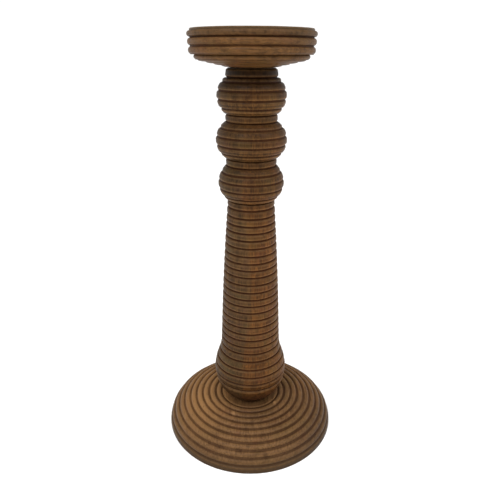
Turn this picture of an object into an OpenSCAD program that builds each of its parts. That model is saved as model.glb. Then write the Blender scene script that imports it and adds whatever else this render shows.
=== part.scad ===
// Turned wooden candlestick for a pillar candle.
// A ribbed base, a ribbed spindle and a ribbed dish are turned separately and
// joined by round tenons, each drawn tight by one wood screw on the centre line.
// +Z is up and the origin is the centre of the foot, on the table.

/* [Ribs] */
// Mean spacing of the ribs along the shaft
rib_pitch = 5.56; // [5.2:0.02:5.8]
// Rise of the grooves halfway up the shaft above an even spacing
shaft_bow = 1.1; // [0:0.1:1.6]
// Size of the wave in their spacing, which repeats every few ribs
spacing_wave = 0.35; // [0:0.05:0.4]
// Height of a rib above the groove floors beside it
rib_depth = 1.1; // [0.8:0.1:1.3]
// Radius that rounds the shoulders of a rib
rib_round = 1.7; // [1.2:0.1:2]
// Width left between two neighbouring ribs
groove_w = 0.5; // [0.3:0.1:0.8]

/* [Base] */
// Radius of the oval curve that the tops of the base's ribs follow
base_r = 66.8; // [63:0.1:70]
// Height of the crown of the base above the table
base_h = 24.1; // [22:0.1:27]
// Radius inside which the crown is level
crown_r = 28.5; // [26:0.1:30]
// Exponent that fills out the oval curve, which 1 leaves a plain oval
oval_power = 0.93; // [0.9:0.01:1]
// Height of the lowest groove above the bottom edge
edge_rib_h = 5.2; // [4:0.1:6]
// Number of ribs over the curve of the base
dome_ribs = 8; // [7:1:9]
// Radius that rounds the shoulders of the base's ribs
dome_rib_round = 2.3; // [1.5:0.1:2.5]

/* [Foot] */
// Largest radius of the foot of the spindle
foot_r = 28.6; // [27:0.2:30]
// Height of the whole foot of the spindle
foot_h = 48.6; // [48:0.2:52]
// Height of its widest place above the base
foot_belly_h = 22.9; // [22:0.1:25]
// Radius of the long curve from the belly up to the shaft
foot_shoulder_r = 46; // [40:1:60]
// Height of the plain bowl under the foot's lowest rib
foot_bowl_h = 18.6; // [18:0.1:21]
// How far the bowl is set back from the ribs above it
bowl_set_back = 0.8; // [0.2:0.1:1]
// Radius that rounds the upper edge of the bowl
bowl_round = 1.7; // [1:0.1:2]
// Number of ribs on the foot
foot_ribs = 5; // [4:1:6]

/* [Shaft] */
// Number of ribs on the tapered shaft
shaft_ribs = 21; // [18:1:24]
// Radius over the ribs at the lower end of the shaft
shaft_low_r = 22.9; // [21:0.1:24]
// Radius over the ribs at the upper end of the shaft
shaft_top_r = 16.6; // [16:0.1:18]
// Swelling of the shaft beyond a straight taper, at its middle
shaft_swell = 0.65; // [0:0.05:0.8]

/* [Bulbs] */
// Largest radius of the lower bulb
low_bulb_r = 23.2; // [21:0.1:25]
// Largest radius of the middle bulb
mid_bulb_r = 24.4; // [21:0.1:25]
// Largest radius of the upper bulb
top_bulb_r = 23.4; // [21:0.1:25]
// Height of the lower bulb
low_bulb_h = 23.7; // [23:0.1:26]
// Height of the middle bulb
mid_bulb_h = 23.5; // [23:0.1:26]
// Height of the upper bulb
top_bulb_h = 22.4; // [22:0.1:26]
// Radius of the curve that shapes a bulb from top to bottom
bulb_curve = 15; // [14:0.5:18]
// Turn along that curve from one rib of a bulb to the next
bulb_rib_angle = 23.5; // [20:0.5:25]
// How far the ribs of the lower bulb are turned up along its curve
low_bulb_turn = -3; // [-4:0.5:4]
// How far the ribs of the middle bulb are turned up along its curve
mid_bulb_turn = 0; // [-4:0.5:4]
// How far the ribs of the upper bulb are turned up along its curve
top_bulb_turn = 3; // [-4:0.5:4]
// Radius of the collars above and below the bulbs
collar_r = 17.5; // [16.5:0.1:18]
// Height of a collar between two bulbs
collar_h = 5.5; // [4:0.1:6]
// Radius to which the spindle narrows right under the dish
neck_r = 15.6; // [13:0.1:16.2]
// Height of the collar under the dish
neck_h = 6; // [5:0.1:7]

/* [Dish] */
// Radius of the dish over its top rib
dish_r = 41; // [40:0.1:44]
// Height of the whole dish
dish_h = 22.8; // [22.3:0.1:25]
// Number of ribs round the side of the dish
dish_ribs = 3; // [2:1:3]
// Height of the uppermost of them
dish_top_rib_h = 4.1; // [3.2:0.1:4.4]
// Height of each of the others
dish_pitch = 4.95; // [4.4:0.05:5.2]
// Depth of the grooves between them
dish_rib_depth = 1.9; // [1.5:0.1:2.1]
// Radius that rounds their shoulders
dish_rib_round = 2; // [1.5:0.1:2.1]
// How much smaller each rib is than the one above it
dish_step = 0.35; // [0:0.05:0.4]
// Radius of the thin lip above the top rib
lip_r = 39.2; // [38:0.1:40]
// Height of that lip
lip_h = 1.1; // [0.8:0.1:2]
// Radius of the set-back rib under the side of the dish
shoulder_r = 37.1; // [36:0.1:39]
// Height of the set-back rib
shoulder_h = 3; // [2.6:0.1:3.6]
// Number of shallow rings on the underside
under_rings = 4; // [3:1:5]
// Depth of the grooves between those rings
under_depth = 0.4; // [0.3:0.1:0.7]
// Diameter of the recess that a pillar candle stands in
seat_d = 71; // [66:0.5:72]
// Depth of the recess
seat_depth = 5; // [3:0.5:6]

/* [Tenons] */
// Radius of the tenon under the spindle
low_tenon_r = 9; // [7:0.5:11]
// Length of the tenon under the spindle
low_tenon_l = 11; // [9:0.5:12]
// Radius of the tenon on top of the spindle
top_tenon_r = 8; // [6:0.5:9]
// Length of the tenon on top of the spindle
top_tenon_l = 9; // [7:0.5:10]
// Glue gap between a tenon and its mortise, all round
glue_gap = 0.05; // [0.02:0.01:0.1]
// Extra depth of a mortise beyond its tenon
mortise_spare = 0.5; // [0.2:0.1:1]

/* [Screws] */
// Radius over the thread of the screw in the base
low_screw_r = 2.5; // [2:0.25:3]
// Length of the screw in the base
low_screw_l = 40; // [30:1:50]
// Radius over the thread of the screw in the dish
top_screw_r = 2.25; // [1.75:0.25:2.5]
// Length of the screw in the dish
top_screw_l = 35; // [25:1:40]
// Free depth of a screw's hole beyond its point
screw_spare = 1; // [0.5:0.5:2]
// Radius of the pocket that sinks the base screw's head
pocket_r = 9; // [7:0.5:11]
// Height of the roof of that pocket above the table
pocket_roof = 7; // [6:0.5:8]

/* [Felt] */
// Radius of the felt disc under the base
felt_r = 55; // [45:1:58]
// Thickness of the felt
felt_t = 2; // [1:0.5:3]
// How far the felt stands out below the wood
felt_proud = 0.3; // [0.2:0.1:0.8]

/* [Hidden] */
$fn = 96;

wood_light = [0.50, 0.34, 0.20];
wood_mid = [0.44, 0.29, 0.17];
wood_dark = [0.40, 0.26, 0.15];
steel = [0.70, 0.70, 0.68];
felt_dark = [0.16, 0.13, 0.11];

// Number of ribs on each bulb
bulb_ribs = 5;
// Radius of the small edges: the lip of the dish and the crown of the base
edge_round = 0.6;
// How far the bottom edge cuts into the lowest rib of the base
edge_sink = 1.9;
// Number of ribs after which the wave in the spacing repeats
wave_ribs = 5;
// Step along the oval curve when its length is added up, in degrees
pace_step = 0.25;
// Overlap of solids that are joined, so that no face lies on another
overlap = 1;
// Overshoot of cuts and of rib roots
past = 0.01;
// Shape of a wood screw, each as a share of its thread's radius
thread_pitch = 0.8;
thread_root = 0.7;
point_length = 2;
slot_width = 0.36;
slot_depth = 0.8;
// Share of a screw's length that has no thread
plain_share = 0.3;
// Thickness of the rim of a screw's head
head_rim = 0.2;

// Heights of the joints between the stretches of the spindle, from the table up
shaft_z = base_h + foot_h;
low_bulb_z = shaft_z + shaft_ribs * rib_pitch;
mid_bulb_z = low_bulb_z + low_bulb_h + collar_h;
top_bulb_z = mid_bulb_z + mid_bulb_h + collar_h;
neck_z = top_bulb_z + top_bulb_h;
dish_z = neck_z + neck_h;
top_z = dish_z + dish_h;

// ---- Grooves: each point is the floor of one groove, as [radius, height] ----

// Base: from the bottom edge up over an oval curve to the level crown
dome_r = base_r - rib_depth;
dome_top = base_h - rib_depth;
dome_start = asin(pow((felt_proud + edge_rib_h) / dome_top, 1 / oval_power));
function dome_point(a) = [
    crown_r + (dome_r - crown_r) * pow(cos(a), oval_power),
    dome_top * pow(sin(a), oval_power)
];
// Length of the curve per degree just after angle a
function dome_pace(a) = norm(dome_point(a + pace_step) - dome_point(a)) / pace_step;
// Half of a step is tried first, so that the pace is the one at the step's middle
function dome_step(a, run) = a + run / dome_pace(a + run / dome_pace(a) / 2);
function dome_angle(k, run) = k == 0 ? dome_start : dome_step(dome_angle(k - 1, run), run);
function dome_length(a, step) = a + step > 90 ? 0 : step * dome_pace(a) + dome_length(a + step, step);
dome_run = dome_length(dome_start, pace_step) / dome_ribs;
crown_ring_r = crown_r - dome_run;
base_grooves = concat(
    [[dome_r, felt_proud - edge_sink]],
    [for (k = [0:dome_ribs - 1]) dome_point(dome_angle(k, dome_run))],
    [[crown_r, dome_top], [crown_ring_r, dome_top]]
);

// Foot: a long curve above the belly, up to the lowest groove of the shaft
belly_z = base_h + foot_belly_h;
bowl_top_z = base_h + foot_bowl_h;
foot_step = (foot_h - foot_bowl_h) / foot_ribs;
function foot_drop(z) = foot_shoulder_r - sqrt(pow(foot_shoulder_r, 2) - pow(z - belly_z, 2));
// The bowl is part of a ball; the circle that rounds its upper edge touches the ball at the brow
bowl_r = foot_r - bowl_set_back;
bowl_edge_z = bowl_top_z - groove_w / 2 - bowl_round;
bowl_edge_r = sqrt(pow(bowl_r - bowl_round, 2) - pow(belly_z - bowl_edge_z, 2));
brow = [bowl_edge_r, bowl_edge_z - belly_z] * bowl_r / (bowl_r - bowl_round);
foot_grooves = concat(
    [[brow.x - rib_depth, bowl_top_z]],
    [for (k = [1:foot_ribs - 1])
        let (z = bowl_top_z + k * foot_step)
        [foot_r - rib_depth - foot_drop(z), z]]
);

// Shaft: a taper with a slight swelling
function shaft_r(t) = shaft_low_r + (shaft_top_r - shaft_low_r) * t + 4 * shaft_swell * t * (1 - t);
function shaft_stray(k) = let (t = k / shaft_ribs)
    4 * shaft_bow * t * (1 - t) + spacing_wave * cos((k - 1) * 360 / wave_ribs);
shaft_grooves = [
    for (k = [0:shaft_ribs - 1])
        [shaft_r(k / shaft_ribs) - rib_depth, shaft_z + k * rib_pitch + shaft_stray(k)]
];

// Bulb: its end grooves belong to the stretches beside it, the others follow its curve
collar_floor = collar_r - rib_depth;
function bulb_grooves(r, z, h, turn, start_r = collar_floor) = concat(
    [[start_r, z]],
    [for (k = [1:bulb_ribs - 1])
        let (a = (k - bulb_ribs / 2) * bulb_rib_angle + turn)
        [r - bulb_curve + (bulb_curve - rib_depth) * cos(a),
         z + h / 2 + (bulb_curve - rib_depth) * sin(a)]],
    [[collar_floor, z + h]]
);

stem_grooves = concat(
    foot_grooves,
    shaft_grooves,
    bulb_grooves(low_bulb_r, low_bulb_z, low_bulb_h, low_bulb_turn, shaft_top_r - rib_depth),
    bulb_grooves(mid_bulb_r, mid_bulb_z, mid_bulb_h, mid_bulb_turn),
    bulb_grooves(top_bulb_r, top_bulb_z, top_bulb_h, top_bulb_turn),
    [[neck_r, dish_z]]
);

// Dish: out along the underside, up the set-back rib, then up the side
top_rib_z = top_z - lip_h - dish_top_rib_h;
side_z = top_rib_z - (dish_ribs - 1) * dish_pitch;
shoulder_floor = shoulder_r - rib_depth;
shoulder_z = side_z - shoulder_h;
under_in = [neck_r, dish_z + under_depth];
under_out = [shoulder_floor - edge_round, shoulder_z];
under_grooves = [
    for (k = [0:under_rings])
        under_in + (under_out - under_in) * k / under_rings
];
side_floor = dish_r - dish_rib_depth;
seat_z = top_z - seat_depth;

// ---- Outlines, drawn in the plane of radius and height ----

// One rib from groove a to groove b; a run of ribs goes up the outside of the wood
module rib(a, b, depth = rib_depth, round_r = rib_round) {
    run = norm(b - a);
    r = min(round_r, (run - groove_w) / 2);
    near = groove_w / 2 + r;
    translate(a)
        rotate(atan2(b.y - a.y, b.x - a.x)) {
            translate([near, r - depth])
                circle(r);
            translate([run - near, r - depth])
                circle(r);
            translate([near, -depth])
                square([run - 2 * near + past, depth + past]);
        }
}

// Ribs between every two neighbouring grooves of a list
module ribs(grooves, depth = rib_depth, round_r = rib_round) {
    for (k = [0:len(grooves) - 2])
        rib(grooves[k], grooves[k + 1], depth, round_r);
}

// The wood inside the groove floors, closed along the axis
module core(grooves) {
    first = grooves[0];
    last = grooves[len(grooves) - 1];
    polygon(concat([[0, first.y]], grooves, [[0, last.y]]));
}

// A rectangle given by its corners
module square_from(x1, y1, x2, y2) {
    translate([x1, y1])
        square([x2 - x1, y2 - y1]);
}

// A plate round the axis with a rounded upper edge
module rounded_plate(r, from_z, to_z) {
    square_from(0, from_z, r - edge_round, to_z);
    square_from(0, from_z, r, to_z - edge_round);
    translate([r - edge_round, to_z - edge_round])
        circle(edge_round);
}

module base_outline() {
    intersection() {
        union() {
            core(base_grooves);
            ribs(base_grooves, rib_depth, dome_rib_round);
        }
        square_from(0, felt_proud, base_r, base_h);
    }
    rounded_plate(crown_ring_r - groove_w / 2, dome_top - overlap, base_h);
}

module stem_outline() {
    core(stem_grooves);
    ribs(stem_grooves);
    intersection() {
        translate([0, belly_z])
            circle(bowl_r);
        square_from(0, base_h, foot_r, belly_z + brow.y);
    }
    translate([bowl_edge_r, bowl_edge_z])
        circle(bowl_round);
    square_from(0, bowl_edge_z - overlap, bowl_edge_r, bowl_edge_z + bowl_round);
    square_from(0, bowl_edge_z, foot_grooves[0].x, bowl_top_z + overlap);
}

module dish_outline() {
    core(concat(under_grooves, [
        [shoulder_floor, shoulder_z],
        [shoulder_floor, side_z],
        [side_floor, side_z],
        [side_floor, top_z - lip_h]
    ]));
    ribs(under_grooves, under_depth, rib_round);
    rib([shoulder_floor, shoulder_z], [shoulder_floor, side_z + groove_w]);
    rib([side_floor, top_rib_z], [side_floor, top_z - lip_h], dish_rib_depth, dish_rib_round);
    for (k = [1:dish_ribs - 1]) {
        floor_r = side_floor - dish_step * k;
        z = top_rib_z - dish_pitch * k;
        rib([floor_r, z], [floor_r, z + dish_pitch], dish_rib_depth, dish_rib_round);
    }
    rounded_plate(lip_r, top_z - lip_h - overlap, top_z);
}

// ---- Shared pieces ----

// A hole up the axis from one height to another
module bore(r, from_z, to_z) {
    translate([0, 0, from_z])
        cylinder(r = r, h = to_z - from_z);
}

// The countersink for a screw head whose flat face is at the origin, facing down
module countersink(r) {
    translate([0, 0, -past])
        cylinder(r1 = 2 * r, r2 = r - past, h = r + 2 * past);
}

// A countersunk wood screw with a cross recess, head down, its point up the axis
module wood_screw(r, length) {
    pitch = r * thread_pitch;
    root_r = r * thread_root;
    head_r = 2 * r - head_rim;
    tip_z = length - r * point_length;
    turns = floor(tip_z * (1 - plain_share) / pitch);
    thread_z = tip_z - turns * pitch;
    difference() {
        rotate_extrude()
            polygon(concat(
                [[0, 0], [head_r, 0], [head_r, head_rim], [root_r, head_r + head_rim - root_r]],
                [for (k = [0:turns - 1], edge = [0, 1])
                    [edge == 0 ? root_r : r, thread_z + (k + edge / 2) * pitch]],
                [[root_r, tip_z], [0, length]]
            ));
        for (turn = [0, 90])
            rotate(turn)
                translate([-r, -r * slot_width / 2, -past])
                    cube([2 * r, r * slot_width, r * slot_depth]);
    }
}

// ---- Pieces ----

module base() {
    color(wood_light)
        difference() {
            rotate_extrude()
                base_outline();
            bore(felt_r + glue_gap, 0, felt_t);
            bore(pocket_r, 0, pocket_roof);
            translate([0, 0, pocket_roof])
                countersink(low_screw_r);
            bore(low_screw_r, pocket_roof, base_h);
            bore(low_tenon_r + glue_gap, base_h - low_tenon_l - mortise_spare, base_h + past);
        }
}

module stem() {
    color(wood_mid)
        difference() {
            union() {
                rotate_extrude()
                    stem_outline();
                bore(low_tenon_r, base_h - low_tenon_l, base_h + overlap);
                bore(top_tenon_r, dish_z - overlap, dish_z + top_tenon_l);
            }
            bore(low_screw_r, base_h - low_tenon_l - past, pocket_roof + low_screw_l + screw_spare);
            bore(top_screw_r, seat_z - top_screw_l - screw_spare, dish_z + top_tenon_l + past);
        }
}

module dish() {
    color(wood_dark)
        difference() {
            rotate_extrude()
                dish_outline();
            bore(seat_d / 2, seat_z, top_z + past);
            translate([0, 0, seat_z])
                mirror([0, 0, 1])
                    countersink(top_screw_r);
            bore(top_screw_r, dish_z, seat_z);
            bore(top_tenon_r + glue_gap, dish_z - past, dish_z + top_tenon_l + mortise_spare);
        }
}

module base_screw() {
    color(steel)
        translate([0, 0, pocket_roof])
            wood_screw(low_screw_r, low_screw_l);
}

module dish_screw() {
    color(steel)
        translate([0, 0, seat_z])
            mirror([0, 0, 1])
                wood_screw(top_screw_r, top_screw_l);
}

module felt_pad() {
    color(felt_dark)
        cylinder(r = felt_r, h = felt_t);
}

base();
stem();
dish();
base_screw();
dish_screw();
felt_pad();
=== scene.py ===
"""The looks of a turned wooden candlestick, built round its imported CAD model.

The three wooden pieces are turned again here from the outlines of their CAD nodes, with a finer
surface, slightly uneven ribs, small dents and a wood grain that runs through the solid.
The felt disc is remade with its soft nap. The two screws keep their CAD shapes.
"""

import math
import random

import bmesh
import bpy
import numpy as np
from mathutils import Euler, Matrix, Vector, noise


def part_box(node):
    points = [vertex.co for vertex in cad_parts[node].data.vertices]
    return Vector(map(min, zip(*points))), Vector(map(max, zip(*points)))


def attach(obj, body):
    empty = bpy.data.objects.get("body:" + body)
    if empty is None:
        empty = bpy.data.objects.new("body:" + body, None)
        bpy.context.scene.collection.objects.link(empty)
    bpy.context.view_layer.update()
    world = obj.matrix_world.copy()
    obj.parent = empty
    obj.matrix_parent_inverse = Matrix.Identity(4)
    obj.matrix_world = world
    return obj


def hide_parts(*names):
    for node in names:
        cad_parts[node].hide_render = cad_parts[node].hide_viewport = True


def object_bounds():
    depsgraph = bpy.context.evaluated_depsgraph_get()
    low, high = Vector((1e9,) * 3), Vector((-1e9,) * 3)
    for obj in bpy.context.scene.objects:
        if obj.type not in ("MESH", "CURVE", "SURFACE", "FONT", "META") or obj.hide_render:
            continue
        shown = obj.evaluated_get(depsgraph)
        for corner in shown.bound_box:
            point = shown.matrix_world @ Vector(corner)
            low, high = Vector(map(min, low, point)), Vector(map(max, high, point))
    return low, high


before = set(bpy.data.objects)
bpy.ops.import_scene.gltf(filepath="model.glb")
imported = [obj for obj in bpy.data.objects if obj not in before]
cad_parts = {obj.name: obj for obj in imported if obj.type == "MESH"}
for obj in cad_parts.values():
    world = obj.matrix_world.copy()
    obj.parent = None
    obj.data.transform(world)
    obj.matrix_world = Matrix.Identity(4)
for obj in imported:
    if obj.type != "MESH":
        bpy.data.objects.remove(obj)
cad_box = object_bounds()

MM = 0.001
X, Y, Z = 0, 1, 2
LOW, HIGH = cad_box
HEIGHT = HIGH.z - LOW.z
TOP_MM = HEIGHT / MM
BODY = "root"


def linked(name, data):
    """A new object in the scene that shows a mesh, a lamp or a camera."""
    made = bpy.data.objects.new(name, data)
    bpy.context.collection.objects.link(made)
    return made


# ---- Outlines read from the CAD nodes ----

CUT_SLACK = 0.0001 * MM
ON_AXIS = 0.001 * MM
NO_LENGTH = 0.000001 * MM


def section(node):
    """The straight bits of a node's cross-section on its +X side, as pairs of (radius, height)."""
    mesh = bmesh.new()
    mesh.from_mesh(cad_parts[node].data)
    cut = bmesh.ops.bisect_plane(
        mesh,
        geom=mesh.verts[:] + mesh.edges[:] + mesh.faces[:],
        plane_co=(0, 0, 0),
        plane_no=(0, 1, 0),
        dist=CUT_SLACK,
    )
    bits = set()
    for item in cut["geom_cut"]:
        if isinstance(item, bmesh.types.BMEdge):
            a, b = sorted(((v.co.x, v.co.z) for v in item.verts), reverse=True)
            if a[0] < ON_AXIS:
                continue
            if b[0] < 0:  # the bit crosses the axis, so it ends there
                share = a[0] / (a[0] - b[0])
                b = (0.0, a[1] + (b[1] - a[1]) * share)
            pair = frozenset((round(r, 6), round(z, 6)) for r, z in (a, b))
            if len(pair) == 2:
                bits.add(pair)
    mesh.free()
    return bits


def outline(node):
    """The node's cross-section as one chain of points. Returns (points, whether it is a ring)."""
    beside = {}
    for pair in section(node):
        a, b = sorted(pair)
        beside.setdefault(a, set()).add(b)
        beside.setdefault(b, set()).add(a)
    ends = sorted((p for p in beside if len(beside[p]) == 1), key=lambda p: p[1])
    start = ends[0] if ends else min(beside, key=lambda p: (p[1], -p[0]))
    chain, seen = [start], {start}
    while True:
        onward = sorted(p for p in beside[chain[-1]] if p not in seen)
        if not onward:
            return np.array(chain), not ends
        here = np.array(chain[-1])
        onward.sort(key=lambda p: np.linalg.norm(np.array(p) - here))
        chain.append(onward[0])
        seen.add(onward[0])


def thinned(points, slack):
    """The points that a chain needs to stay within slack of its old course."""
    keep = np.zeros(len(points), bool)
    keep[[0, -1]] = True
    todo = [(0, len(points) - 1)]
    while todo:
        first, last = todo.pop()
        if last - first < 2:
            continue
        chord = points[last] - points[first]
        away = points[first + 1 : last] - points[first]
        length = np.linalg.norm(chord)
        if length < NO_LENGTH:
            off = np.linalg.norm(away, axis=1)
        else:
            off = np.abs(chord[0] * away[:, 1] - chord[1] * away[:, 0]) / length
        worst = int(off.argmax())
        if off[worst] > slack:
            middle = first + 1 + worst
            keep[middle] = True
            todo += [(first, middle), (middle, last)]
    return points[keep]


def spaced(points, longest):
    """The chain with its long stretches divided evenly."""
    out = [points[0]]
    for a, b in zip(points, points[1:]):
        parts = max(1, math.ceil(np.linalg.norm(b - a) / longest))
        out += [a + (b - a) * k / parts for k in range(1, parts + 1)]
    return np.array(out)


def standing(points, reach):
    """For each point, how deep it lies in a hollow and how far it stands out, over a reach."""
    run = np.concatenate([[0], np.cumsum(np.linalg.norm(np.diff(points, axis=0), axis=1))])
    sink, stand = np.zeros(len(points)), np.zeros(len(points))
    for i, here in enumerate(points):
        near = np.abs(run - run[i]) <= reach
        before = points[near & (run < run[i])]
        after = points[near & (run > run[i])]
        if not len(before) or not len(after):
            continue
        chord = after[None, :, :] - before[:, None, :]
        away = here - before[:, None, :]
        length = np.maximum(np.linalg.norm(chord, axis=2), NO_LENGTH)
        off = (chord[..., 0] * away[..., 1] - chord[..., 1] * away[..., 0]) / length
        sink[i], stand[i] = max(off.max(), 0), max(-off.min(), 0)
    return sink, stand


def signed_area(points):
    """Twice the area that a chain closes, above 0 when its solid lies on its left."""
    ahead = np.roll(points, -1, axis=0)
    return float((points[:, 0] * ahead[:, 1] - ahead[:, 0] * points[:, 1]).sum())


def outward_of(points, ring):
    """The direction straight out of the solid at each point of a chain."""
    ahead, behind = np.roll(points, -1, axis=0), np.roll(points, 1, axis=0)
    if not ring:
        ahead[-1], behind[0] = points[-1], points[0]
    along = ahead - behind
    along /= np.maximum(np.linalg.norm(along, axis=1), NO_LENGTH)[:, None]
    return np.stack([along[:, 1], -along[:, 0]], axis=1)


# ---- Turned pieces ----

OUTLINE_SLACK = 0.02 * MM
RIB_REACH = 3.2 * MM
EDGE_REACH = 1.3 * MM
SHARP_EDGE = math.radians(42)

# Dents fall on the outer part of a piece and on what is high up, where things knock against it
DENTED_BEYOND = 0.6
DENTED_ABOVE = 30 * MM
DENT_RADIUS = (0.7, 1.6)
DENT_DEPTH = (0.08, 0.25)

# The surface lies this far inside the CAD surface, in millimetres, with slow waves and fibres
SET_BACK = 0.05
WAVE_DEPTH, WAVES_PER_M = 0.04, 45
FIBRE_DEPTH, FIBRES_PER_M = 0.035, 420
FIBRE_STRETCH = 0.06


def dents(points, count, seed):
    """Small dents as (place, radius, depth)."""
    draw = random.Random(seed)
    outer = [p for p in points if p[0] > DENTED_BEYOND * points[:, 0].max() or p[1] > DENTED_ABOVE]
    found = []
    for _ in range(count):
        r, z = draw.choice(outer)
        turn = draw.uniform(0, 2 * math.pi)
        place = Vector((r * math.cos(turn), r * math.sin(turn), z))
        found.append((place, draw.uniform(*DENT_RADIUS) * MM, draw.uniform(*DENT_DEPTH) * MM))
    return found


def relief(place, grain):
    """How far the surface lies inside the CAD surface at a place, for a grain along that axis."""
    wave = noise.noise(place * WAVES_PER_M)
    across = Vector(place * FIBRES_PER_M)
    across[grain] *= FIBRE_STRETCH
    return (SET_BACK + WAVE_DEPTH * wave + FIBRE_DEPTH * noise.noise(across)) * MM


def skin(piece, rings):
    """Closes the surface from each ring of vertices to the next. A ring may be a single point."""
    for lower, upper in zip(rings, rings[1:]):
        segments = max(len(lower), len(upper))
        if segments == 1:
            continue
        for k in range(segments):
            n = (k + 1) % segments
            if len(lower) == 1:
                corners = (lower[0], upper[n], upper[k])
            elif len(upper) == 1:
                corners = (lower[k], lower[n], upper[0])
            else:
                corners = (lower[k], lower[n], upper[n], upper[k])
            piece.faces.new(corners)


def finished(name, piece, node):
    """The piece as a smooth object that stands for a CAD node."""
    mesh = bpy.data.meshes.new(name)
    piece.to_mesh(mesh)
    piece.free()
    mesh.shade_smooth()
    made = linked(name, mesh)
    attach(made, BODY)
    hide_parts(node)
    return made


def turned(name, node, segments, longest, grain, dent_count, seed):
    """A wooden piece spun from the outline of its CAD node, lying a little inside it.

    Its points carry what the wood's material needs: hollow is how deep they lie between the ribs
    and crest is how far they stand out, in millimetres, and rise is how far they face upwards.
    """
    chain, ring = outline(node)
    if ring:
        chain = np.vstack([chain, chain[:1]])
    chain = spaced(thinned(chain, OUTLINE_SLACK), longest)
    if signed_area(chain) < 0:
        chain = chain[::-1]
    sink = standing(chain, RIB_REACH)[0]
    edge = standing(chain, EDGE_REACH)[1]
    if ring:
        chain, sink, edge = chain[:-1], sink[:-1], edge[:-1]

    pits = dents(chain, dent_count, seed)
    pit_at = np.array([place[:] for place, _, _ in pits])
    pit_r = np.array([radius for _, radius, _ in pits])
    pit_d = np.array([depth for _, _, depth in pits])
    piece = bmesh.new()
    rings, hollow, crest, rise = [], [], [], []
    for (r, z), (out_r, out_z), deep, high in zip(chain, outward_of(chain, ring), sink, edge):
        on_axis = r < ON_AXIS
        row = []
        for k in range(1 if on_axis else segments):
            turn = 2 * math.pi * k / segments
            side = Vector((math.cos(turn), math.sin(turn), 0))
            place = side * r + Vector((0, 0, z))
            off = np.linalg.norm(pit_at - np.array(place), axis=1) / pit_r
            low = relief(place, grain) + float((pit_d * np.exp(-(off**2) * 2)).sum())
            if on_axis:
                low = 0
            row.append(piece.verts.new(place - (side * out_r + Vector((0, 0, out_z))) * low))
            hollow.append(deep / MM)
            crest.append(high / MM)
            rise.append(out_z)
        rings.append(row)
    skin(piece, rings + rings[:1] if ring else rings)
    made = finished(name, piece, node)
    for label, values in (("hollow", hollow), ("crest", crest), ("rise", rise)):
        made.data.attributes.new(label, "FLOAT", "POINT").data.foreach_set("value", values)
    made.data.set_sharp_from_angle(angle=SHARP_EDGE)
    return made


# ---- Nodes ----


def srgb(red, green, blue):
    """A colour given as 0 to 255 steps, in the linear values that shaders take."""
    parts = [c / 255 for c in (red, green, blue)]
    return [c / 12.92 if c <= 0.04045 else ((c + 0.055) / 1.055) ** 2.4 for c in parts] + [1]


class Nodes:
    """The node tree of a material or a world, with short ways to add what these looks use."""

    def __init__(self, owner, shader):
        owner.use_nodes = True
        self.owner = owner
        self.tree = owner.node_tree
        self.shader = self.tree.nodes[shader]

    def put(self, socket, value):
        """Links or sets an input."""
        if isinstance(value, bpy.types.NodeSocket):
            self.tree.links.new(value, socket)
        else:
            socket.default_value = value

    def add(self, kind, inputs=(), **settings):
        """A node with its settings and its inputs by name or number."""
        node = self.tree.nodes.new(kind)
        for key, value in settings.items():
            setattr(node, key, value)
        for key, value in dict(inputs).items():
            self.put(node.inputs[key], value)
        return node

    def math(self, operation, a, b=0.0, c=0.0):
        return self.add("ShaderNodeMath", {0: a, 1: b, 2: c}, operation=operation).outputs[0]

    def vector(self, operation, a, b=(0, 0, 0)):
        inputs = {0: a, "Scale": b} if operation == "SCALE" else {0: a, 1: b}
        return self.add("ShaderNodeVectorMath", inputs, operation=operation).outputs[0]

    def length(self, vector):
        return self.add("ShaderNodeVectorMath", {0: vector}, operation="LENGTH").outputs["Value"]

    def split(self, vector):
        """The X, Y and Z of a vector."""
        return self.add("ShaderNodeSeparateXYZ", {0: vector}).outputs

    def from_axis(self, place):
        """The distance of a place from the turning axis."""
        return self.length(self.vector("MULTIPLY", place, (1, 1, 0)))

    def ramp(self, value, low, high, to_low, to_high, interpolation="LINEAR"):
        """Value taken from low..high to to_low..to_high, and held at its ends."""
        inputs = {0: value, 1: low, 2: high, 3: to_low, 4: to_high}
        return self.add("ShaderNodeMapRange", inputs, interpolation_type=interpolation).outputs[0]

    def band(self, value, low, high, to_low=0.0, to_high=1.0):
        """A ramp that starts and ends smoothly."""
        return self.ramp(value, low, high, to_low, to_high, "SMOOTHSTEP")

    def noise(self, vector, scale, detail=3.0, roughness=0.55, distortion=0.0):
        """Fractal noise, as its node. Output 0 is a value and output 1 is a colour."""
        inputs = {
            "Vector": vector,
            "Scale": scale,
            "Detail": detail,
            "Roughness": roughness,
            "Distortion": distortion,
        }
        return self.add("ShaderNodeTexNoise", inputs)

    def mix(self, factor, a, b, blend="MIX"):
        node = self.add("ShaderNodeMix", data_type="RGBA", blend_type=blend)
        for key, value in ((0, factor), (6, a), (7, b)):
            self.put(node.inputs[key], value)
        return node.outputs[2]

    def tint(self, colour, shares, where):
        """The colour with its red, green and blue multiplied by shares, where a mask says."""
        return self.mix(where, colour, (*shares, 1), "MULTIPLY")

    def paint(self, colour, over, where, strength):
        """The colour painted over with another at some strength, where a mask says."""
        return self.mix(self.math("MULTIPLY", where, strength), colour, over)

    def attribute(self, name):
        node = self.add("ShaderNodeAttribute", attribute_name=name, attribute_type="GEOMETRY")
        return node.outputs["Fac"]

    def millimetres(self):
        """The place in the row frame, in millimetres."""
        place = self.add("ShaderNodeTexCoord").outputs["Object"]
        return self.vector("SCALE", place, 1 / MM)

    def bump(self, height, strength, depth):
        """Gives the shader a fine relief, of a depth in millimetres."""
        inputs = {"Strength": strength, "Distance": depth * MM, "Height": height}
        self.put(self.shader.inputs["Normal"], self.add("ShaderNodeBump", inputs).outputs[0])


def material(name):
    return Nodes(bpy.data.materials.new(name), "Principled BSDF")


# ---- Wood ----

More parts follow.
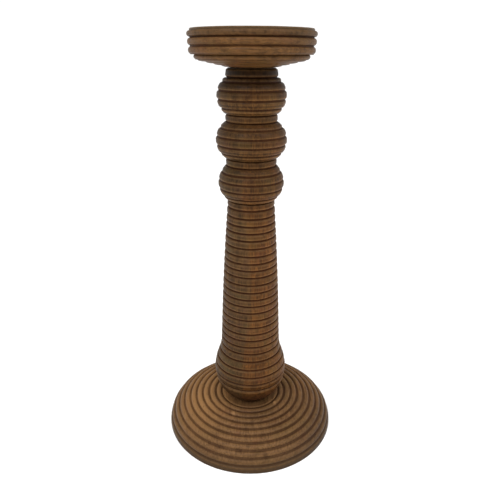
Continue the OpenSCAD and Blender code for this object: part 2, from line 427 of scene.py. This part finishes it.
OLIVE = srgb(84, 64, 32)
BLUSH = srgb(90, 52, 32)
PORE = srgb(36, 20, 8)
WORN = srgb(122, 90, 56)
GROOVE_STAIN = srgb(42, 17, 3)


def drawn_out(grain, share):
    """Scales for a place, so that a pattern there is drawn out along the grain."""
    scales = [1.0, 1.0, 1.0]
    scales[grain] = share
    return scales


def wood(name, grain, pith, light, dark, zones, stain, strength, starts, full, shine, seed):
    """Turned wood with its grain along one axis, and a dark stain left in the grooves.

    The figure is worked out through the solid: growth rings round a pith line outside the piece,
    long fibres and pores along the grain, and slow changes of tone. zones adds what is special
    to one piece: it takes (nodes, place, streaks, colour) and returns the new colour. The stain
    starts at one depth and is full at another, in millimetres, with a strength from 0 to 1.
    shine is the strength of the mirror-like part of the light.
    """
    n = material(name)
    place = n.millimetres()
    shifted = n.vector("ADD", place, (seed * 37.0, seed * 19.0, seed * 53.0))

    # The fibres wander a little
    wander = n.noise(shifted, 0.018, 2.0).outputs[1]
    drift = n.vector("SCALE", n.vector("SUBTRACT", wander, (0.5, 0.5, 0.5)), 9.0)
    bent = n.vector("ADD", shifted, drift)
    fibres = n.vector("MULTIPLY", bent, drawn_out(grain, FIBRE_STRETCH))

    # Growth rings round the pith
    across = n.vector("MULTIPLY", bent, drawn_out(grain, 0.03))
    ring_r = n.length(n.vector("SUBTRACT", across, pith))
    ring_at = n.add("ShaderNodeCombineXYZ", {"X": ring_r}).outputs[0]
    rings = n.noise(ring_at, 0.42, 3.0, 0.6).outputs[0]

    fine = n.noise(fibres, 0.95, 4.0, 0.7).outputs[0]
    broad = n.noise(fibres, 0.22, 3.0, 0.5).outputs[0]
    tone = n.math("MULTIPLY_ADD", rings, 0.4, n.math("MULTIPLY", fine, 1.1))
    tone = n.math("MULTIPLY_ADD", broad, 0.4, tone)
    colour = n.mix(n.band(tone, 0.74, 1.2), dark, light)

    # Slow patches of other hues: olive, and a reddish blush
    patch = n.noise(shifted, 0.05, 2.0, 0.6).outputs[0]
    colour = n.mix(n.band(patch, 0.48, 0.72, 0.0, 0.4), colour, OLIVE)
    blush = n.noise(n.vector("ADD", shifted, (91.0, 13.0, 57.0)), 0.08, 3.0, 0.6).outputs[0]
    colour = n.mix(n.band(blush, 0.5, 0.75, 0.0, 0.45), colour, BLUSH)
    colour = zones(n, place, broad, colour)

    # Pores: short dark ticks along the grain, in some places more than in others
    pore_at = n.vector("MULTIPLY", bent, drawn_out(grain, 0.2))
    cells = n.add("ShaderNodeTexVoronoi", {"Vector": pore_at, "Scale": 0.85, "Randomness": 1.0})
    size = n.band(n.noise(fibres, 0.3, 2.0).outputs[0], 0.35, 0.65, 0.1, 0.4)
    pores = n.math("SUBTRACT", 1.0, n.band(cells.outputs[0], 0.0, size))
    colour = n.paint(colour, PORE, pores, 0.8)

    # Stain in the grooves, worn off the edges of the ribs
    uneven = n.noise(shifted, 0.35, 3.0, 0.6).outputs[0]
    depth = n.math("MULTIPLY_ADD", n.math("SUBTRACT", uneven, 0.5), 0.3, n.attribute("hollow"))
    stained = n.band(depth, starts, full)
    colour = n.paint(colour, stain, stained, n.band(patch, 0.3, 0.65, 0.75 * strength, strength))
    edges = n.band(n.attribute("crest"), 0.05, 0.3)
    colour = n.paint(colour, WORN, edges, n.band(uneven, 0.3, 0.6, 0.1, 0.3))
    n.put(n.shader.inputs["Base Color"], colour)

    # Waxed on the ribs, dull in the grooves and pores
    dull = n.math("MULTIPLY_ADD", stained, 0.22, n.math("MULTIPLY", pores, 0.2))
    gloss = n.math("MULTIPLY_ADD", fine, 0.2, 0.36)
    n.put(n.shader.inputs["Roughness"], n.math("ADD", gloss, dull))
    n.shader.inputs["Specular IOR Level"].default_value = shine

    # Relief too fine for the mesh: fibres, pores, and the tool's rings
    tool_at = n.add("ShaderNodeCombineXYZ", {"X": n.from_axis(place), "Y": n.split(place)[Z]})
    tool = n.noise(tool_at.outputs[0], 2.6, 2.0).outputs[0]
    height = n.math("MULTIPLY_ADD", fine, 0.7, n.math("MULTIPLY", tool, 0.35))
    n.bump(n.math("MULTIPLY_ADD", pores, -0.6, height), 0.6, 0.25)
    return n.owner


def spot(n, place, centre, size):
    """1 at a centre, falling smoothly to 0 at size (one per axis), in millimetres."""
    off = n.vector("DIVIDE", n.vector("SUBTRACT", place, centre), size)
    return n.band(n.length(off), 0.0, 1.0, 1.0, 0.0)


# Darker steps along the stem, partly a darker stain and partly painted shade, as (height where one
# starts, height where it is full, share left)
STEM_STAIN_AND_SHADE_STEPS = ((62.0, 46.0, 0.76), (150.0, 180.0, 0.86), (178.0, 200.0, 0.8), (259.0, 269.0, 0.43))


def stem_zones(n, place, streaks, colour):
    """A grey side, a darker foot, bulbs and neck that are partly stain and partly painted shade, ribs
    with painted shade above and painted light below, painted light on the +X side, and painted shade in
    the bowl.
    """
    x, _, z = n.split(place)
    # Greyer on the -X side, up to a wavy edge that bulges towards +X at mid height
    above = n.math("DIVIDE", n.math("SUBTRACT", z, 122.0), 42.0)
    bulge = n.math("EXPONENT", n.math("MULTIPLY", n.math("POWER", above, 2.0), -1.0))
    edge = n.math("MULTIPLY_ADD", bulge, 6.5, -6.0)
    edge = n.math("MULTIPLY_ADD", n.math("SUBTRACT", streaks, 0.5), 9.0, edge)
    grey = n.band(n.math("SUBTRACT", edge, x), -1.5, 1.5)
    grey = n.math("MULTIPLY", grey, n.band(z, 175.0, 240.0, 1.0, 0.5))
    colour = n.tint(colour, (0.72, 0.92, 1.25), grey)
    # The foot and the bulbs are darker than the shaft, and the wood under the dish the most: partly
    # stain, partly painted shade under the foot's belly and painted shadow from the dish
    for start, full, share in STEM_STAIN_AND_SHADE_STEPS:
        colour = n.tint(colour, (share, share, share), n.band(z, start, full))
    # The bulbs are more olive than the shaft
    colour = n.tint(colour, (0.91, 0.99, 1.0), n.band(z, 192.0, 206.0))
    # Painted shade on the upper shoulders of the ribs, and painted light on the lower ones, as if lit
    # from below
    rise = n.attribute("rise")
    shoulder = n.band(n.attribute("crest"), 0.02, 0.2)
    upper = n.math("MULTIPLY", n.band(rise, 0.0, 0.5), shoulder)
    colour = n.tint(colour, (0.62, 0.6, 0.57), upper)
    lower = n.math("MULTIPLY", n.band(rise, 0.0, -0.4), shoulder)
    colour = n.tint(colour, (1.75, 1.75, 1.65), lower)
    # Painted light brightens the +X side
    colour = n.tint(colour, (1.18, 1.18, 1.12), n.band(x, 4.0, 20.0))
    # Painted shade, dark and reddish, in the bowl towards the base, with some dirt that gathers round
    # the foot
    return n.paint(colour, srgb(54, 31, 18), n.band(z, 41.0, 30.0), 0.6)


# Places on the base where torn grain shows fresh wood, as (centre, size) in millimetres
TORN_SPOTS = (
    ((-12.0, -29.0, 23.0), (3.2, 4.5, 4.0)),
    ((19.5, -16.5, 24.0), (2.2, 3.0, 3.0)),
)


def base_zones(n, place, streaks, colour):
    """A side with painted light and a side with painted shade, a darker rim, torn and chipped spots, and
    painted shade round the foot.
    """
    # Painted light on the -X side, and painted shade on the +X front side, broken up by the grain's
    # streaks
    lit_side = spot(n, place, (-37.0, -2.0, 15.0), (34.0, 58.0, 60.0))
    colour = n.paint(colour, srgb(140, 102, 62), lit_side, 0.85)
    shaded_side = spot(n, place, (58.0, -32.0, 5.0), (46.0, 66.0, 34.0))
    shaded_side = n.math("MULTIPLY", shaded_side, n.band(streaks, 0.3, 0.6, 0.45, 1.0))
    colour = n.paint(colour, srgb(48, 36, 26), shaded_side, 0.85)
    low = n.band(n.split(place)[Z], 13.0, 2.0)
    colour = n.paint(colour, srgb(60, 44, 26), low, 0.85)
    colour = n.tint(colour, (0.84, 0.84, 0.86), n.band(n.from_axis(place), 50.0, 63.0))
    for centre, size in TORN_SPOTS:
        torn = n.math("MULTIPLY", spot(n, place, centre, size), n.band(streaks, 0.35, 0.55))
        colour = n.paint(colour, srgb(150, 112, 74), torn, 0.9)
    chip = spot(n, place, (11.7, -60.0, 12.0), (3.0, 2.2, 3.0))
    colour = n.paint(colour, PORE, chip, 0.9)
    # Painted shade on the crown in front of the foot, and on the ribs nearest to it
    crown_shade = spot(n, place, (2.0, -22.0, 24.0), (24.0, 13.0, 12.0))
    colour = n.paint(colour, srgb(82, 58, 36), crown_shade, 0.6)
    # Painted shade spreads over the front ribs near the foot
    foot_shade = spot(n, place, (9.0, -32.0, 20.0), (36.0, 28.0, 30.0))
    return n.tint(colour, (0.7, 0.7, 0.72), foot_shade)


# Darker steps up the dish's top rib as (depth under the lip where one starts, is full, share left)
TOP_RIB_STEPS = ((6.2, 5.0, 0.74), (4.2, 3.2, 0.6))


def dish_zones(n, place, streaks, colour):
    """A dark top rib with a darker streaky patch in front, darker sides, and a greyish lip that is
    partly wear and partly painted highlight.
    """
    x, _, z = n.split(place)
    patch = spot(n, place, (24.0, -32.0, TOP_MM - 4.0), (32.0, 32.0, 7.0))
    patch = n.math("MULTIPLY", patch, n.band(streaks, 0.35, 0.55, 0.2, 1.0))
    colour = n.paint(colour, srgb(40, 29, 18), patch, 0.75)
    for start, full, share in TOP_RIB_STEPS:
        colour = n.tint(colour, (share, share, share), n.band(z, TOP_MM - start, TOP_MM - full))
    colour = n.tint(colour, (0.82, 0.82, 0.8), n.band(n.math("ABSOLUTE", x), 18.0, 36.0))
    # Painted highlight, with some wear, greys the lip's rounded top
    return n.paint(colour, srgb(66, 51, 33), n.band(z, TOP_MM - 1.8, TOP_MM - 1.3), 0.85)


# ---- Felt and screws ----

FELT_EDGE = 0.5 * MM
FELT_EDGE_STEPS = 6
FELT_ROWS = 60
FELT_SEGMENTS = 256
NAP_DEPTH = 0.12 * MM
NAPS_PER_M = 900


def felt_disc(node):
    """The felt under the base: a disc with a soft cut edge and an uneven nap."""
    low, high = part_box(node)
    middle = (low.z + high.z) / 2
    flat = high.x - FELT_EDGE
    turns = [math.pi / 2 * k / FELT_EDGE_STEPS for k in range(1, FELT_EDGE_STEPS + 1)]
    profile = [(flat * k / FELT_ROWS, low.z) for k in range(FELT_ROWS + 1)]
    for turn in turns:
        profile.append((flat + FELT_EDGE * math.sin(turn), low.z + FELT_EDGE * (1 - math.cos(turn))))
    for turn in turns:
        profile.append((flat + FELT_EDGE * math.cos(turn), high.z - FELT_EDGE * (1 - math.sin(turn))))
    profile.append((0, high.z))
    piece = bmesh.new()
    rings = []
    for r, z in profile:
        row = []
        for k in range(FELT_SEGMENTS if r > 0 else 1):
            turn = 2 * math.pi * k / FELT_SEGMENTS
            place = Vector((r * math.cos(turn), r * math.sin(turn), z))
            nap = (noise.noise(place * NAPS_PER_M) * 0.5 + 0.5) * NAP_DEPTH
            inward = 1 if z < middle else -1
            left = 1 - nap / r if r > flat - FELT_EDGE else 1
            row.append(piece.verts.new((place.x * left, place.y * left, z + inward * nap * 0.5)))
        rings.append(row)
    skin(piece, rings)
    return finished("felt_disc", piece, node)


def felt():
    """Pressed wool: matted fibres of slightly different tones."""
    n = material("felt")
    place = n.millimetres()
    strands = n.noise(place, 1.6, 6.0, 0.8, 1.5).outputs[0]
    clumps = n.noise(place, 0.25, 3.0).outputs[0]
    colour = n.mix(n.band(strands, 0.3, 0.7), srgb(28, 23, 20), srgb(62, 52, 45))
    colour = n.mix(n.band(clumps, 0.4, 0.7, 0.0, 0.3), colour, srgb(50, 43, 36))
    n.put(n.shader.inputs["Base Color"], colour)
    n.shader.inputs["Roughness"].default_value = 0.95
    n.shader.inputs["Sheen Weight"].default_value = 0.08
    n.shader.inputs["Sheen Roughness"].default_value = 0.6
    n.bump(strands, 0.8, 0.6)
    return n.owner


def zinc():
    """Zinc-plated steel with faint turning marks and a few dull spots."""
    n = material("zinc")
    place = n.millimetres()
    spots = n.noise(place, 0.8, 4.0, 0.7).outputs[0]
    lathe_at = n.add("ShaderNodeCombineXYZ", {"X": n.from_axis(place), "Y": n.split(place)[Z]})
    lathe = n.noise(lathe_at.outputs[0], 6.0, 2.0).outputs[0]
    colour = n.mix(n.band(spots, 0.35, 0.7), srgb(150, 149, 145), srgb(118, 115, 109))
    n.put(n.shader.inputs["Base Color"], colour)
    n.shader.inputs["Metallic"].default_value = 1.0
    n.put(n.shader.inputs["Roughness"], n.band(spots, 0.3, 0.75, 0.25, 0.5))
    n.bump(lathe, 0.3, 0.05)
    return n.owner


# ---- The object ----

base = turned("turned_base", "base", segments=340, longest=0.9 * MM, grain=Y, dent_count=26, seed=3)
base.data.materials.append(
    wood(
        "base_wood",
        grain=Y,
        pith=(70.0, 0.0, -60.0),
        light=srgb(108, 78, 48),
        dark=srgb(68, 46, 26),
        zones=base_zones,
        stain=srgb(46, 25, 9),
        strength=0.8,
        starts=0.35,
        full=1.05,
        shine=0.08,
        seed=1.0,
    )
)

stem = turned("turned_stem", "stem", segments=130, longest=1.0 * MM, grain=Z, dent_count=40, seed=5)
stem.data.materials.append(
    wood(
        "stem_wood",
        grain=Z,
        pith=(60.0, 45.0, 0.0),
        light=srgb(97, 61, 28),
        dark=srgb(54, 32, 14),
        zones=stem_zones,
        stain=GROOVE_STAIN,
        strength=0.85,
        starts=0.2,
        full=0.9,
        shine=0.07,
        seed=2.0,
    )
)

dish = turned("turned_dish", "dish", segments=300, longest=0.9 * MM, grain=X, dent_count=16, seed=7)
dish.data.materials.append(
    wood(
        "dish_wood",
        grain=X,
        pith=(0.0, 0.0, -150.0),
        light=srgb(95, 63, 31),
        dark=srgb(50, 32, 15),
        zones=dish_zones,
        stain=GROOVE_STAIN,
        strength=0.85,
        starts=0.8,
        full=1.6,
        shine=0.08,
        seed=3.0,
    )
)

pad = felt_disc("felt_pad")
pad.data.materials.append(felt())

steel = zinc()
for screw in ("base_screw", "dish_screw"):
    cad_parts[screw].data.materials.clear()
    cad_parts[screw].data.materials.append(steel)


# ---- Floor, light and camera ----

FLOOR_HALF = 12.0
FLOOR_PAINT = (0.95, 0.95, 0.95, 1)
WHITE = (1, 1, 1, 1)
# The lamps face the object at this share of its height
LIT_AT = 0.6

floor_mesh = bpy.data.meshes.new("floor")
corners = [(x * FLOOR_HALF, y * FLOOR_HALF, LOW.z) for x, y in ((-1, -1), (1, -1), (1, 1), (-1, 1))]
floor_mesh.from_pydata(corners, [], [(0, 1, 2, 3)])
paint = material("floor_paint")
paint.shader.inputs["Base Color"].default_value = FLOOR_PAINT
paint.shader.inputs["Roughness"].default_value = 0.9
floor_mesh.materials.append(paint.owner)
linked("floor", floor_mesh)

# The studio's walls: white near the horizon, bright on both sides, dimmer overhead and behind the camera
world = bpy.data.worlds.new("studio")
bpy.context.scene.world = world
walls = Nodes(world, "Background")
aim = walls.split(walls.add("ShaderNodeTexCoord").outputs["Generated"])
overhead = walls.ramp(aim[Z], 0.12, 0.5, 1.05, 0.3)
behind = walls.ramp(aim[Y], -0.9, -0.1, 0.45, 1.0)
sides = walls.ramp(walls.math("ABSOLUTE", aim[X]), 0.6, 0.95, 1.0, 2.0)
glow = walls.math("MULTIPLY", walls.math("MULTIPLY", overhead, behind), sides)
walls.put(walls.shader.inputs["Strength"], glow)
walls.shader.inputs["Color"].default_value = WHITE
bpy.context.scene.view_settings.view_transform = "Standard"


def softbox(name, kind, azimuth, elevation, distance, power, **settings):
    """A lamp that faces the object. Azimuth 0 is at the camera, and 90 on its right."""
    turn, rise = math.radians(azimuth), math.radians(elevation)
    ahead = math.cos(rise)
    towards = Vector((math.sin(turn) * ahead, -math.cos(turn) * ahead, math.sin(rise)))
    lamp = bpy.data.lights.new(name, kind)
    lamp.energy = power
    for key, value in settings.items():
        setattr(lamp, key, value)
    made = linked(name, lamp)
    made.location = Vector((0, 0, LOW.z + HEIGHT * LIT_AT)) + towards * distance
    made.rotation_euler = (-towards).to_track_quat("-Z", "Y").to_euler()


softbox("overhead_softbox", "SUN", -20, 74, distance=2.0, power=2.5, angle=math.radians(75))
softbox("key_softbox", "AREA", -31, 40, distance=1.1, power=5.0, size=0.3)
softbox("fill_softbox", "AREA", 57, 40, distance=1.1, power=4.5, size=0.3)

# The camera stands in front of the object, a little lower than its lip, and looks down
EYE_AWAY = 333.5 * MM
EYE_HIGH = 285.9 * MM
EYE_DOWN = 22.24
EYE_TURN = 0.1
EYE_ROLL = 0.28
LENS = 35.06
camera_data = bpy.data.cameras.new("camera")
camera_data.lens = LENS
camera_data.sensor_width = 36.0
camera_data.clip_start = 0.01
camera = linked("camera", camera_data)
camera.location = (0, -EYE_AWAY, LOW.z + EYE_HIGH)
straight = Euler((math.radians(90 - EYE_DOWN), 0, math.radians(EYE_TURN))).to_matrix()
camera.rotation_euler = (straight @ Euler((0, 0, math.radians(EYE_ROLL))).to_matrix()).to_euler()
bpy.context.scene.camera = camera
